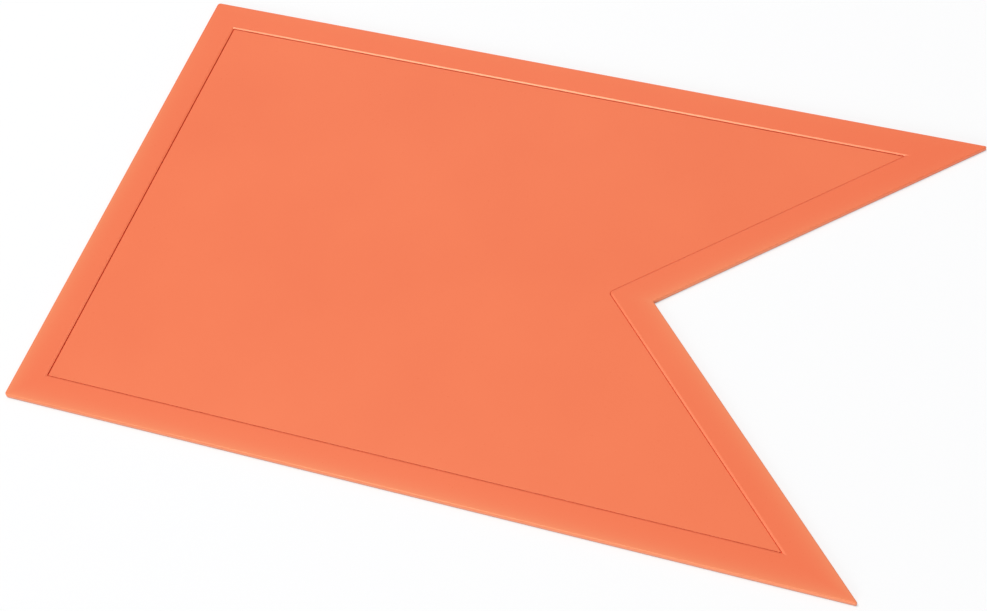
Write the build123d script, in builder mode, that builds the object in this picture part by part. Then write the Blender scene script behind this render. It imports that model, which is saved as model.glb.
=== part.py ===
from build123d import *
from math import radians, sin, tan
import os

# Swallow-tail layout plate: a moulded tray whose raised rim frames a thin inlaid sheet.
#
# The plate lies flat with its underside at z = 0. The origin is at the middle of the footprint.
# +X runs from the straight end to the two tail tips, +Y across the plate and +Z up.
# The notch between the tails is a right angle, so each of its sides stands at 45 degrees to the long edges.

# Driving dimensions, in millimetres
overall_length = 281.0  # straight end to the rounded tail tips
overall_width = 178.0  # over the two long edges
tail_angle = 45.0  # degrees between each side of the notch and the long edges
tray_height = 1.6  # underside to the top of the rim
rim_width = 10.6  # outer edge to the recess wall, all the way round
lip_bevel_width = 0.7  # slope on the rim's inner lip, measured across the rim
lip_bevel_depth = 0.2  # the same slope, measured downwards
floor_thickness = 1.0  # tray floor under the recess
film_thickness = 0.1
inlay_gap = 0.22  # hairline between the inlay and the recess wall, when the inlay is centred
inlay_shift_x = 0.15  # as laid, it sits this far off centre, so the hairline is wider at the straight end
inlay_shift_y = -0.07  # and wider along the +Y edge
film_margin = 0.5  # the film stops this far inside the inlay's edge

# Roundings, in millimetres
end_corner_radius = 1.2  # the two square corners of the straight end
tail_tip_radius = 0.5  # the two 45 degree tail tips
recess_notch_radius = 1.2  # the recess wall, where it turns round the point of the notch
top_edge_radius = 0.45  # upper outer edge of the rim
bottom_edge_radius = 0.2  # lower outer edge
inlay_edge_radius = 0.08  # upper edge of the inlay

# Worked out
tip_reach = 1 / tan(radians(tail_angle / 2))  # how far a tail tip draws back for each unit of inset
notch_reach = 1 / sin(radians(tail_angle))  # how far the notch point draws back for each unit of inset
straight_end_x = -overall_length / 2
sharp_tip_x = overall_length / 2 + tail_tip_radius * (tip_reach - 1)
long_edge_y = overall_width / 2
notch_point_x = sharp_tip_x - long_edge_y / tan(radians(tail_angle))
film_z = floor_thickness
inlay_z = film_z + film_thickness
inlay_thickness = tray_height - lip_bevel_depth - inlay_z  # its face is level with the foot of the slope
inlay_inset = rim_width + inlay_gap


def swallow_tail(inset=0.0):
    """Draw the plate's sharp-cornered outline, moved inwards by inset, in the line being built."""
    end_x = straight_end_x + inset
    tip_x = sharp_tip_x - inset * tip_reach
    edge_y = long_edge_y - inset
    Polyline(
        (end_x, edge_y),
        (tip_x, edge_y),
        (notch_point_x - inset * notch_reach, 0),
        (tip_x, -edge_y),
        (end_x, -edge_y),
        close=True,
    )


# Moulded tray: the whole outline, with a recess that leaves the rim standing
with BuildPart() as rim_tray:
    with BuildSketch(Plane.XY):
        with BuildLine():
            swallow_tail()
        make_face()
        fillet(vertices().group_by(Axis.X)[0], radius=end_corner_radius)
        fillet(vertices().group_by(Axis.X)[-1], radius=tail_tip_radius)
    extrude(amount=tray_height)
    fillet(faces().sort_by(Axis.Z)[-1].edges(), radius=top_edge_radius)
    fillet(faces().sort_by(Axis.Z)[0].edges(), radius=bottom_edge_radius)
    with BuildSketch(Plane.XY.offset(floor_thickness)):
        with BuildLine():
            swallow_tail(rim_width)
        make_face()
        fillet(vertices().group_by(Axis.X)[1], radius=recess_notch_radius)
    extrude(amount=tray_height, mode=Mode.SUBTRACT)
    rim_top = faces().sort_by(Axis.Z)[-1]
    recess_edges = rim_top.inner_wires()[0].edges()
    chamfer(recess_edges, length=lip_bevel_width, length2=lip_bevel_depth, reference=rim_top)
rim_tray.part.label = "rim_tray"

# Adhesive film between the tray's floor and the inlay
with BuildPart() as adhesive_film:
    with BuildSketch(Plane((inlay_shift_x, inlay_shift_y, film_z))):
        with BuildLine():
            swallow_tail(inlay_inset + film_margin)
        make_face()
        fillet(vertices().group_by(Axis.X)[1], radius=recess_notch_radius)
    extrude(amount=film_thickness)
adhesive_film.part.label = "adhesive_film"

# Inlaid sheet, set down below the rim by the depth of the lip's slope
with BuildPart() as field_inlay:
    with BuildSketch(Plane((inlay_shift_x, inlay_shift_y, inlay_z))):
        with BuildLine():
            swallow_tail(inlay_inset)
        make_face()
        fillet(vertices().group_by(Axis.X)[1], radius=recess_notch_radius + inlay_gap)
    extrude(amount=inlay_thickness)
    fillet(faces().sort_by(Axis.Z)[-1].edges(), radius=inlay_edge_radius)
field_inlay.part.label = "field_inlay"

os.makedirs("parts", exist_ok=True)
export_step(rim_tray.part, "parts/rim_tray.step")
export_step(adhesive_film.part, "parts/adhesive_film.step")
export_step(field_inlay.part, "parts/field_inlay.step")
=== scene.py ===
"""The looks of a swallow-tail layout plate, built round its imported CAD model.

The plate is two moulded pieces: a tray with a raised rim, and a thin sheet laid in the tray's recess.
Each is a skin of rings: the same five-cornered outline, moved inwards and up or down ring by ring.
The film that bonds them keeps its CAD shape.
"""

import math

import bmesh
import bpy
from mathutils import Matrix, Vector


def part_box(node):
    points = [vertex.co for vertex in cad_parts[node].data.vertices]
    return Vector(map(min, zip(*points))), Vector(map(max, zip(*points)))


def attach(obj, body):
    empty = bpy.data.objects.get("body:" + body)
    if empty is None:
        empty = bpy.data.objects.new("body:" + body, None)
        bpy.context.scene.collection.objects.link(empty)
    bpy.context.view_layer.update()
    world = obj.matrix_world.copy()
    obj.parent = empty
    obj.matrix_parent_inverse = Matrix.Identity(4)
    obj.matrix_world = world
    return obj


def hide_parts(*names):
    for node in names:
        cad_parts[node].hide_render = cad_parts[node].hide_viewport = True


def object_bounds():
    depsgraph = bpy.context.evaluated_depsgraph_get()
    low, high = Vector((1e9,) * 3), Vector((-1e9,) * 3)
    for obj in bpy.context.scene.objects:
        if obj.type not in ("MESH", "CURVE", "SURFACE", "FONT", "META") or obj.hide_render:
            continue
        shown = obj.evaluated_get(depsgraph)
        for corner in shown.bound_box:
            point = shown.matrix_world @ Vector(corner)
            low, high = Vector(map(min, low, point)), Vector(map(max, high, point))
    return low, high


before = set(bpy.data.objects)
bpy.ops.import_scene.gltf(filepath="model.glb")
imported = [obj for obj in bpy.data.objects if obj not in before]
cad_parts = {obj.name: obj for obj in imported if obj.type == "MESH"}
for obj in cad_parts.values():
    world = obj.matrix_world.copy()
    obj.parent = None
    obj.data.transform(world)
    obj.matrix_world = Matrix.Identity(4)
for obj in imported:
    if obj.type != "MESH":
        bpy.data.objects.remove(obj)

MM = 0.001
CAD_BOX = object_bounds()
TRAY_LOW, TRAY_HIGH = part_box("rim_tray")
INLAY_LOW, INLAY_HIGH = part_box("field_inlay")

# The outline has two square end corners, two 45 degree tail tips and a right-angled notch between them
TAIL_ANGLE = math.radians(45)
TIP_REACH = 1 / math.tan(TAIL_ANGLE / 2)  # how far a tip draws back for each unit of inset
NOTCH_REACH = 1 / math.sin(TAIL_ANGLE)  # how far the notch point draws back for each unit of inset
END_RADIUS = 1.2 * MM
TIP_RADIUS = 0.5 * MM
SHARP_RADIUS = 0.12 * MM  # corners that look sharp are still a little round
RECESS_NOTCH_RADIUS = 1.2 * MM
SHARP_TIP_X = TRAY_HIGH.x + TIP_RADIUS * (TIP_REACH - 1)
NOTCH_X = SHARP_TIP_X - TRAY_HIGH.y / math.tan(TAIL_ANGLE)
TOP_EDGE_RADIUS = 0.45 * MM
BOTTOM_EDGE_RADIUS = 0.2 * MM

# The rim's inner lip slopes down to a hairline gap, and the inlay starts on the gap's far side
INLAY_GAP = 0.22 * MM
INLAY_INSET = (TRAY_HIGH.y - TRAY_LOW.y - INLAY_HIGH.y + INLAY_LOW.y) / 2
INLAY_SHIFT_X = INLAY_LOW.x - TRAY_LOW.x - INLAY_INSET  # how far off centre the inlay is laid
INLAY_SHIFT_Y = (INLAY_LOW.y + INLAY_HIGH.y) / 2
WALL_INSET = INLAY_INSET - INLAY_GAP
RECESS_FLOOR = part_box("adhesive_film")[0].z
LIP_WIDTH = 0.7 * MM
LIP_DEPTH = TRAY_HIGH.z - INLAY_HIGH.z
LIP_TOP_RADIUS = 0.4 * MM
LIP_FOOT_RADIUS = 0.08 * MM
LIP_FOOT_SINK = 0.6  # how far below the slope's foot its round is centred, as a share of the radius
INLAY_EDGE_RADIUS = 0.08 * MM
INSET_ATTRIBUTE = "inset_mm"

# Mesh density
CORNER_STEPS = 8
EDGE_STEPS = 24
RIM_SHARES = (0.05, 0.2, 0.4, 0.6, 0.8, 0.95)  # rings across the flat of the rim
FLAT_RING_STEPS = (0.4 * MM, 1.5 * MM, 4 * MM, 10 * MM, 20 * MM, 32 * MM, 45 * MM, 58 * MM)

# Colours
CORAL = (0.857, 0.182, 0.083)
# Painted shade towards the tail tips and the -Y edge
DEEP_CORAL = (0.85, 0.161, 0.072)
# Painted light along the outer edge
PALE_CORAL = (0.857, 0.25, 0.12)
# Painted shade in the hairline gap
GROOVE_RED = (0.85, 0.05, 0.01)
# Painted contact shadow round the foot of the outer edge
FOOT_SHADOW_BROWN = (0.3, 0.09, 0.055)
WARM_GLOSS = (1, 0.88, 0.62)
ADHESIVE_BUFF = (0.55, 0.5, 0.42)

# Painted light and shade, lip roughness and tone. Each pair of places goes with a pair of strengths, one
# for each place.
DEEPENING_X = (50 * MM, 120 * MM)
DEEPENING_X_STRENGTHS = (0.25, 0.7)
DEEPENING_Y = (-50 * MM, -85 * MM)
DEEPENING_Y_STRENGTHS = (0.25, 0.85)
EDGE_LIGHT_PER_MM = 0.67  # how much of the paleness is left for each millimetre in from the outer edge
FAR_EDGE_LIGHT_SHARE = 0.2  # share of the paleness at the +Y edge
FOOT_STRENGTH = 0.85
FOOT_HEIGHTS = (0.1 * MM, 0.6 * MM)
FOOT_REACH = (0.2, 2.0)  # millimetres in from the outer edge
GROOVE_STRENGTH = 0.7
GROOVE_REACH = (0.05, 0.22)  # millimetres each way from the middle of the hairline
LIP_DULLING = 0.19
LIP_REACH = (0.3, 0.6)  # millimetres each way from the middle of the lip
DULLING_Y = (-5 * MM, -60 * MM)
CLOUD_SCALE = 22
CLOUD_DETAIL = 3
CLOUD_RANGE = (0.3, 0.7)
CLOUD_DARK = (0.985, 0.96, 0.96)
CLOUD_LIGHT = (1.01, 1.03, 1.03)

# Surface
PLASTIC_ROUGHNESS = 0.3
PLASTIC_IOR = 1.5
ADHESIVE_ROUGHNESS = 0.6
GRAIN_SCALE = 1700
GRAIN_DETAIL = 4
GRAIN_FINENESS = 0.65
GRAIN_DRIFT = 0.05  # most that the grain adds to the roughness or takes from it
GRAIN_STRENGTH = 0.12
GRAIN_HEIGHT = 0.02 * MM

# Camera
CAMERA_AIM = (2.03 * MM, -13.7 * MM, 0)
CAMERA_DISTANCE = 737.9 * MM
CAMERA_AZIMUTH = 27.48
CAMERA_ELEVATION = 53.39
CAMERA_ROLL = -10.31
SENSOR_WIDTH = 36.0
LENS = 82.89
CLIP_START = 10 * MM
CLIP_END = 20

# Light and floor
KEY_COLOUR = (1, 0.96, 0.88)
FLOOR_HALF_WIDTH = 4
FLOOR_DROP = 0.02 * MM  # keeps the floor clear of the underside
FLOOR_COLOUR = (0.43, 0.44, 0.465)
FLOOR_ROUGHNESS = 0.9
FLOOR_GLOW = (0.992, 0.996, 1)
FLOOR_GLOW_STRENGTH = 0.53


def corner_points(inset):
    """The outline's sharp corners and their kinds, moved inwards by inset, in order round the plate."""
    end_x = TRAY_LOW.x + inset
    tip_x = SHARP_TIP_X - inset * TIP_REACH
    edge_y = TRAY_HIGH.y - inset
    notch_x = NOTCH_X - inset * NOTCH_REACH
    return [
        ("end", Vector((end_x, edge_y))),
        ("end", Vector((end_x, -edge_y))),
        ("tip", Vector((tip_x, -edge_y))),
        ("notch", Vector((notch_x, 0))),
        ("tip", Vector((tip_x, edge_y))),
    ]


def corner_radius(kind, inset):
    """How round a corner is at this inset: outer corners sharpen inwards, the notch point rounds off."""
    if kind == "end":
        return max(END_RADIUS - inset, SHARP_RADIUS)
    if kind == "tip":
        return max(TIP_RADIUS - inset, SHARP_RADIUS)
    if inset > WALL_INSET:
        return RECESS_NOTCH_RADIUS + min(inset - WALL_INSET, INLAY_GAP)
    return SHARP_RADIUS + (RECESS_NOTCH_RADIUS - SHARP_RADIUS) * inset / WALL_INSET


def arc(before, corner, after, radius):
    """Points along the arc that rounds a corner between two straight sides."""
    back = (before - corner).normalized()
    ahead = (after - corner).normalized()
    half_angle = back.angle(ahead) / 2
    centre = corner + (back + ahead).normalized() * (radius / math.sin(half_angle))
    start = corner + back * (radius / math.tan(half_angle)) - centre
    turn = math.pi - 2 * half_angle
    if back.x * ahead.y - back.y * ahead.x > 0:
        turn = -turn
    points = []
    for step in range(CORNER_STEPS + 1):
        angle = turn * step / CORNER_STEPS
        points.append(centre + Matrix.Rotation(angle, 2) @ start)
    return points


def outline(inset):
    """Points round the plate's outline, moved inwards by inset, the same number at every inset."""
    corners = corner_points(inset)
    arcs = []
    for i, (kind, point) in enumerate(corners):
        before = corners[i - 1][1]
        after = corners[(i + 1) % len(corners)][1]
        arcs.append(arc(before, point, after, corner_radius(kind, inset)))
    points = []
    for i, turn in enumerate(arcs):
        points += turn
        run_start = turn[-1]
        run_end = arcs[(i + 1) % len(arcs)][0]
        for step in range(1, EDGE_STEPS):
            points.append(run_start.lerp(run_end, step / EDGE_STEPS))
    return points


def arc_places(inset, z, radius, start, end, steps):
    """(inset, z) places along an arc about (inset, z). In degrees, 0 is inwards and 90 is up."""
    places = []
    for step in range(steps + 1):
        angle = math.radians(start + (end - start) * step / steps)
        places.append((inset + radius * math.cos(angle), z + radius * math.sin(angle)))
    return places


def lip_slope(inset, z):
    """(inset, z) places down the rim's inner lip: it leaves the flat softly and ends in a small round."""
    square_to_slope = 90 - math.degrees(math.atan2(LIP_DEPTH, LIP_WIDTH))
    places = arc_places(inset, z - LIP_TOP_RADIUS, LIP_TOP_RADIUS, 90, square_to_slope, steps=4)
    foot_inset = WALL_INSET - LIP_FOOT_RADIUS
    foot_z = z - LIP_DEPTH - LIP_FOOT_RADIUS * LIP_FOOT_SINK
    places += arc_places(foot_inset, foot_z, LIP_FOOT_RADIUS, square_to_slope, 0, steps=4)
    return places


def flat_rings(inset, z):
    """(inset, z) places that carry a flat face inwards from its edge towards the middle."""
    return [(inset + step, z) for step in FLAT_RING_STEPS]


def skin(name, places, shift=Vector((0, 0))):
    """A closed mesh through one ring of the outline for each (inset, z) place, capped at both ends.

    Each point keeps its inset as an attribute, so that a material can follow the outline.
    """
    mesh = bmesh.new()
    inset_layer = mesh.verts.layers.float.new(INSET_ATTRIBUTE)
    rings = []
    for inset, z in places:
        ring = [mesh.verts.new((p.x + shift.x, p.y + shift.y, z)) for p in outline(inset)]
        for point in ring:
            point[inset_layer] = inset / MM
        rings.append(ring)
    for lower, upper in zip(rings, rings[1:]):
        for i in range(len(lower)):
            j = (i + 1) % len(lower)
            mesh.faces.new((lower[i], lower[j], upper[j], upper[i]))
    mesh.faces.new(rings[0])
    mesh.faces.new(rings[-1])
    bmesh.ops.recalc_face_normals(mesh, faces=mesh.faces)
    for face in mesh.faces:
        face.smooth = True
    data = bpy.data.meshes.new(name)
    mesh.to_mesh(data)
    mesh.free()
    piece = bpy.data.objects.new(name, data)
    bpy.context.scene.collection.objects.link(piece)
    weighted = piece.modifiers.new("even_shading", "WEIGHTED_NORMAL")
    weighted.weight = 100
    weighted.keep_sharp = True
    return piece


def make_tray():
    """The tray: underside, rounded outer edge, rim, recess wall and recess floor, as one skin."""
    top = TRAY_HIGH.z
    edge = TOP_EDGE_RADIUS
    foot = BOTTOM_EDGE_RADIUS
    places = list(reversed(flat_rings(foot, 0.0)))
    places += arc_places(foot, foot, foot, 270, 180, steps=4)
    places += arc_places(edge, top - edge, edge, 180, 90, steps=8)
    lip_start = WALL_INSET - LIP_WIDTH
    for share in RIM_SHARES:
        places.append((edge + (lip_start - edge) * share, top))
    places += lip_slope(lip_start, top)
    places.append((WALL_INSET, RECESS_FLOOR))
    places += flat_rings(WALL_INSET, RECESS_FLOOR)
    return skin("moulded_tray", places)


def make_inlay():
    """The inlay: a thin sheet with softly rounded upper edges."""
    top = INLAY_HIGH.z
    edge = INLAY_EDGE_RADIUS
    places = list(reversed(flat_rings(INLAY_INSET, INLAY_LOW.z)))
    places.append((INLAY_INSET, INLAY_LOW.z))
    places += arc_places(INLAY_INSET + edge, top - edge, edge, 180, 90, steps=4)
    places += flat_rings(INLAY_INSET + edge, top)
    return skin("inlaid_sheet", places, Vector((INLAY_SHIFT_X, INLAY_SHIFT_Y)))


def mapped(nodes, links, value, from_range, to_range):
    """The value, moved smoothly from one range to the other and held at its ends."""
    node = nodes.new("ShaderNodeMapRange")
    node.interpolation_type = "SMOOTHSTEP"
    node.inputs["From Min"].default_value = from_range[0]
    node.inputs["From Max"].default_value = from_range[1]
    node.inputs["To Min"].default_value = to_range[0]
    node.inputs["To Max"].default_value = to_range[1]
    links.new(value, node.inputs["Value"])
    return node.outputs["Result"]


def arithmetic(nodes, links, operation, first, second):
    """The result of one sum on two values, each a socket or a number."""
    node = nodes.new("ShaderNodeMath")
    node.operation = operation
    for socket, value in zip(node.inputs, (first, second)):
        if isinstance(value, (int, float)):
            socket.default_value = value
        else:
            links.new(value, socket)
    return node.outputs["Value"]


def mixed(nodes, links, amount, colour, other):
    """The colour, carried towards the other one by the amount."""
    node = nodes.new("ShaderNodeMix")
    node.data_type = "RGBA"
    node.inputs["B"].default_value = (*other, 1)
    links.new(amount, node.inputs["Factor"])
    links.new(colour, node.inputs["A"])
    return node.outputs["Result"]


def band(nodes, links, inset, middle, reach, strength):
    """The strength along the line at the middle inset, falling to nothing over the reach on each side."""
    offset = arithmetic(nodes, links, "SUBTRACT", inset, middle / MM)
    distance = arithmetic(nodes, links, "ABSOLUTE", offset, 0)
    return mapped(nodes, links, distance, reach, (strength, 0))


def painted_tip_and_edge_shade(nodes, links, colour, spot):
    """The colour, deeper towards the tail tips and the -Y edge: painted shade."""
    near_tips = mapped(nodes, links, spot.outputs["X"], DEEPENING_X, DEEPENING_X_STRENGTHS)
    near_edge = mapped(nodes, links, spot.outputs["Y"], DEEPENING_Y, DEEPENING_Y_STRENGTHS)
    shade_amount = arithmetic(nodes, links, "MAXIMUM", near_tips, near_edge)
    return mixed(nodes, links, shade_amount, colour, DEEP_CORAL)


def painted_edge_light(nodes, links, colour, inset, spot):
    """The colour, paler towards the outer edge as painted light, most of all along the -Y half."""
    nearness = arithmetic(nodes, links, "POWER", EDGE_LIGHT_PER_MM, inset)
    minus_y_weight = mapped(nodes, links, spot.outputs["Y"], (0, TRAY_HIGH.y), (1, FAR_EDGE_LIGHT_SHARE))
    paleness = arithmetic(nodes, links, "MULTIPLY", nearness, minus_y_weight)
    return mixed(nodes, links, paleness, colour, PALE_CORAL)


def painted_foot_shadow(nodes, links, colour, inset, spot):
    """The colour, browner round the foot of the outer edge: a painted contact shadow."""
    lowness = mapped(nodes, links, spot.outputs["Z"], FOOT_HEIGHTS, (FOOT_STRENGTH, 0))
    nearness = mapped(nodes, links, inset, FOOT_REACH, (1, 0))
    foot_shadow = arithmetic(nodes, links, "MULTIPLY", lowness, nearness)
    return mixed(nodes, links, foot_shadow, colour, FOOT_SHADOW_BROWN)


def painted_groove_shade(nodes, links, colour, inset, spot):
    """The colour, a deeper red along the hairline as painted shade in the gap, but not on the underside
    below it.
    """
    line = band(nodes, links, inset, WALL_INSET + INLAY_GAP / 2, GROOVE_REACH, GROOVE_STRENGTH)
    height = mapped(nodes, links, spot.outputs["Z"], (0, RECESS_FLOOR), (0, 1))
    shade_amount = arithmetic(nodes, links, "MULTIPLY", line, height)
    return mixed(nodes, links, shade_amount, colour, GROOVE_RED)


def dulled_lip(nodes, links, roughness, inset, spot):
    """The roughness, raised along the rim's inner lip on the -Y half, where its polish has worn off."""
    lip = band(nodes, links, inset, WALL_INSET - LIP_WIDTH / 2, LIP_REACH, LIP_DULLING)
    minus_y_weight = mapped(nodes, links, spot.outputs["Y"], DULLING_Y, (0, 1))
    dulling = arithmetic(nodes, links, "MULTIPLY", lip, minus_y_weight)
    return arithmetic(nodes, links, "ADD", dulling, roughness)


def clouded(nodes, links, base, place):
    """The base colour, drifting a little lighter and darker from place to place."""
    cloud = nodes.new("ShaderNodeTexNoise")
    cloud.inputs["Scale"].default_value = CLOUD_SCALE
    cloud.inputs["Detail"].default_value = CLOUD_DETAIL
    links.new(place, cloud.inputs["Vector"])
    tone = nodes.new("ShaderNodeValToRGB")
    for stop, position, tint in zip(tone.color_ramp.elements, CLOUD_RANGE, (CLOUD_DARK, CLOUD_LIGHT)):
        stop.position = position
        stop.color = (base[0] * tint[0], base[1] * tint[1], base[2] * tint[2], 1)
    links.new(cloud.outputs["Fac"], tone.inputs["Fac"])
    return tone.outputs["Color"]


def add_grain(nodes, links, shader, roughness, place):
    """Give the shader its roughness, broken up by a fine grain that the surface shares."""
    grain = nodes.new("ShaderNodeTexNoise")
    grain.inputs["Scale"].default_value = GRAIN_SCALE
    grain.inputs["Detail"].default_value = GRAIN_DETAIL
    grain.inputs["Roughness"].default_value = GRAIN_FINENESS
    links.new(place, grain.inputs["Vector"])
    drift = mapped(nodes, links, grain.outputs["Fac"], (0, 1), (-GRAIN_DRIFT, GRAIN_DRIFT))
    links.new(arithmetic(nodes, links, "ADD", drift, roughness), shader.inputs["Roughness"])
    bump = nodes.new("ShaderNodeBump")
    bump.inputs["Strength"].default_value = GRAIN_STRENGTH
    bump.inputs["Distance"].default_value = GRAIN_HEIGHT
    links.new(grain.outputs["Fac"], bump.inputs["Height"])
    links.new(bump.outputs["Normal"], shader.inputs["Normal"])


def start_material(name):
    """A new material, with its nodes, links, shader and object coordinates."""
    material = bpy.data.materials.new(name)
    material.use_nodes = True
    nodes = material.node_tree.nodes
    place = nodes.new("ShaderNodeTexCoord").outputs["Object"]
    return material, nodes, material.node_tree.links, nodes["Principled BSDF"], place


def coral_plastic(name, deepens):
    """Satin moulded plastic in a coral tone, with painted light along its outer edge and painted shade at
    its foot and in its hairline; deepens adds painted shade towards the tail tips and the -Y edge.
    """
    material, nodes, links, shader, place = start_material(name)
    attribute = nodes.new("ShaderNodeAttribute")
    attribute.attribute_name = INSET_ATTRIBUTE
    inset = attribute.outputs["Fac"]
    spot = nodes.new("ShaderNodeSeparateXYZ")
    links.new(place, spot.inputs["Vector"])
    tone = clouded(nodes, links, CORAL, place)
    if deepens:
        tone = painted_tip_and_edge_shade(nodes, links, tone, spot)
    tone = painted_edge_light(nodes, links, tone, inset, spot)
    tone = painted_foot_shadow(nodes, links, tone, inset, spot)
    links.new(painted_groove_shade(nodes, links, tone, inset, spot), shader.inputs["Base Color"])
    shader.inputs["IOR"].default_value = PLASTIC_IOR
    shader.inputs["Specular Tint"].default_value = (*WARM_GLOSS, 1)
    add_grain(nodes, links, shader, dulled_lip(nodes, links, PLASTIC_ROUGHNESS, inset, spot), place)
    return material


def dried_adhesive(name):
    """A dull, buff-coloured bonding layer."""
    material, nodes, links, shader, place = start_material(name)
    links.new(clouded(nodes, links, ADHESIVE_BUFF, place), shader.inputs["Base Color"])
    add_grain(nodes, links, shader, ADHESIVE_ROUGHNESS, place)
    return material


def make_floor():
    """A plain pale floor under the plate. About half its light is its own glow, so shadows stay faint."""
    mesh = bmesh.new()
    bmesh.ops.create_grid(mesh, x_segments=1, y_segments=1, size=FLOOR_HALF_WIDTH)
    data = bpy.data.meshes.new("floor")
    mesh.to_mesh(data)
    mesh.free()
    floor = bpy.data.objects.new("floor", data)
    floor.location.z = CAD_BOX[0].z - FLOOR_DROP
    bpy.context.scene.collection.objects.link(floor)
    material = bpy.data.materials.new("pale_floor")
    material.use_nodes = True
    shader = material.node_tree.nodes["Principled BSDF"]
    shader.inputs["Base Color"].default_value = (*FLOOR_COLOUR, 1)
    shader.inputs["Roughness"].default_value = FLOOR_ROUGHNESS
    shader.inputs["Specular IOR Level"].default_value = 0
    shader.inputs["Emission Color"].default_value = (*FLOOR_GLOW, 1)
    shader.inputs["Emission Strength"].default_value = FLOOR_GLOW_STRENGTH
    data.materials.append(material)


def direction(azimuth, elevation):
    """The unit vector towards a place at this azimuth and elevation, in degrees.

    Azimuth 0 is the -Y side and 90 the +X side.
    """
    around = math.radians(azimuth)
    above = math.radians(elevation)
    level = math.cos(above)
    return Vector((math.sin(around) * level, -math.cos(around) * level, math.sin(above)))


def make_area_light(name, azimuth, elevation, distance, size, power, colour=(1, 1, 1)):
    """A square soft light that points at the plate's middle."""
    data = bpy.data.lights.new(name, "AREA")
    data.shape = "SQUARE"
    data.size = size
    data.energy = power
    data.color = colour
    lamp = bpy.data.objects.new(name, data)
    towards = direction(azimuth, elevation)
    lamp.location = towards * distance
    lamp.rotation_mode = "QUATERNION"
    lamp.rotation_quaternion = (-towards).to_track_quat("-Z", "Y")
    bpy.context.scene.collection.objects.link(lamp)


def make_world(strength):
    """Even white light from all round."""
    world = bpy.data.worlds.new("studio")
    world.use_nodes = True
    background = world.node_tree.nodes["Background"]
    background.inputs["Color"].default_value = (1, 1, 1, 1)
    background.inputs["Strength"].default_value = strength
    bpy.context.scene.world = world


def make_camera():
    """The camera, aimed at a point on the plate's underside plane and rolled about its own axis."""
    data = bpy.data.cameras.new("camera")
    data.sensor_width = SENSOR_WIDTH
    data.lens = LENS
    data.clip_start = CLIP_START
    data.clip_end = CLIP_END
    camera = bpy.data.objects.new("camera", data)
    back = direction(CAMERA_AZIMUTH, CAMERA_ELEVATION)
    camera.location = Vector(CAMERA_AIM) + back * CAMERA_DISTANCE
    level = (-back).to_track_quat("-Z", "Y").to_matrix()
    roll = Matrix.Rotation(math.radians(CAMERA_ROLL), 3, "Z")
    camera.rotation_mode = "QUATERNION"
    camera.rotation_quaternion = (level @ roll).to_quaternion()
    bpy.context.scene.collection.objects.link(camera)
    bpy.context.scene.camera = camera


make_camera()
make_floor()
make_world(strength=0.32)
make_area_light(
    "key_light", azimuth=-104, elevation=73, distance=3.5, size=1.2, power=84, colour=KEY_COLOUR
)
make_area_light("front_light", azimuth=5, elevation=13, distance=3.0, size=1.4, power=36)
make_area_light("back_light", azimuth=-160, elevation=38, distance=3.0, size=1.5, power=5)
bpy.context.scene.view_settings.view_transform = "Standard"

tray = make_tray()
tray.data.materials.append(coral_plastic("rim_plastic", deepens=True))
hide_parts("rim_tray")
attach(tray, "root")

inlay = make_inlay()
inlay.data.materials.append(coral_plastic("inlay_plastic", deepens=False))
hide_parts("field_inlay")
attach(inlay, "root")

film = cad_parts["adhesive_film"]
film.data.materials.clear()
film.data.materials.append(dried_adhesive("adhesive"))
